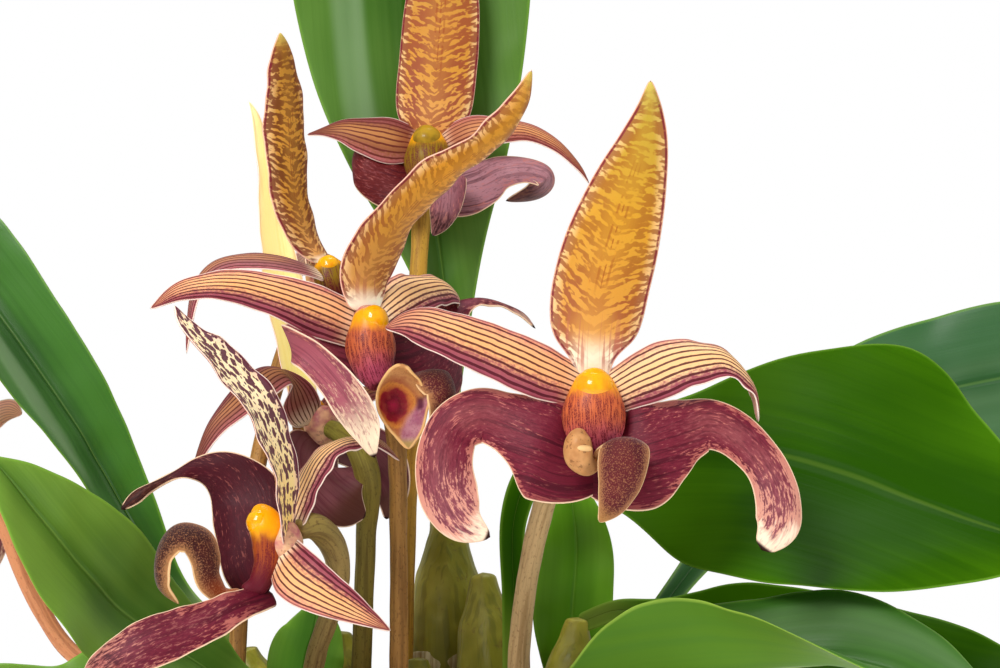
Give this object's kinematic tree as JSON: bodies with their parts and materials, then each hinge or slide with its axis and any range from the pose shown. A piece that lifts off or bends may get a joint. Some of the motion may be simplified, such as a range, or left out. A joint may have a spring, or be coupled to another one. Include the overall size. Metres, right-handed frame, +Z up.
{
  "type": "potted bulbophyllum orchid",
  "caption": "Flowering tropical orchid in a clay pot: spotted sepals, striped petals and velvety lips on single stalks, leathery leaves on creeping bulbs in bark.",
  "frame": {"origin": "middle of the pot's flat foot", "axes": "+Z up, the blooms face -Y, +X to the viewer's right"},
  "size_m": [0.3217, 0.1414, 0.3243],
  "materials": {
    "dorsal_sepal": "waxy golden petal tissue with tan blotches",
    "petal": "waxy peach petal tissue with maroon stripes",
    "lateral_sepal": "waxy wine-red petal tissue with a cream rim",
    "column": "glossy yellow flower tissue",
    "lip": "velvety maroon flower tissue",
    "scape": "matt tan stalk with brown flecks",
    "leaf": "glossy dark green leaf",
    "pseudobulb": "satin olive bulb with papery sheaths",
    "bark": "rough brown bark",
    "terracotta": "matt unglazed clay"
  },
  "bodies": {
    "root": {"bloom_a_dorsal_sepal": "dorsal_sepal", "bloom_a_petals": "petal", "bloom_a_lateral_sepals": "lateral_sepal", "bloom_a_column": "column", "bloom_a_lip": "lip", "bloom_a_scape": "scape", "bloom_b_dorsal_sepal": "dorsal_sepal", "bloom_b_petals": "petal", "bloom_b_lateral_sepals": "lateral_sepal", "bloom_b_column": "column", "bloom_b_lip": "lip", "bloom_b_scape": "scape", "bloom_c_dorsal_sepal": "dorsal_sepal", "bloom_c_petals": "petal", "bloom_c_lateral_sepals": "lateral_sepal", "bloom_c_column": "column", "bloom_c_lip": "lip", "bloom_c_scape": "scape", "bloom_d_dorsal_sepal": "dorsal_sepal", "bloom_d_petals": "petal", "bloom_d_lateral_sepals": "lateral_sepal", "bloom_d_column": "column", "bloom_d_lip": "lip", "bloom_d_scape": "scape", "bloom_e_dorsal_sepal": "dorsal_sepal", "bloom_e_petals": "petal", "bloom_e_lateral_sepals": "lateral_sepal", "bloom_e_column": "column", "bloom_e_lip": "lip", "bloom_e_scape": "scape", "bloom_f_dorsal_sepal": "dorsal_sepal", "bloom_f_petals": "petal", "bloom_f_lateral_sepals": "lateral_sepal", "bloom_f_column": "column", "bloom_f_lip": "lip", "bloom_f_scape": "scape", "bloom_g_dorsal_sepal": "dorsal_sepal", "bloom_g_petals": "petal", "bloom_g_lateral_sepals": "lateral_sepal", "bloom_g_column": "column", "bloom_g_lip": "lip", "bloom_g_scape": "scape", "leaf_back": "leaf", "leaf_left_back": "leaf", "leaf_left_front": "leaf", "leaf_left_low": "leaf", "leaf_right": "leaf", "leaf_right_front": "leaf", "leaf_middle": "leaf", "leaf_right_back": "leaf", "leaf_right_low": "leaf", "leaf_new_growth": "leaf", "rhizome": "pseudobulb", "bark": "bark", "pot": "terracotta"}
  },
  "joints": []
}
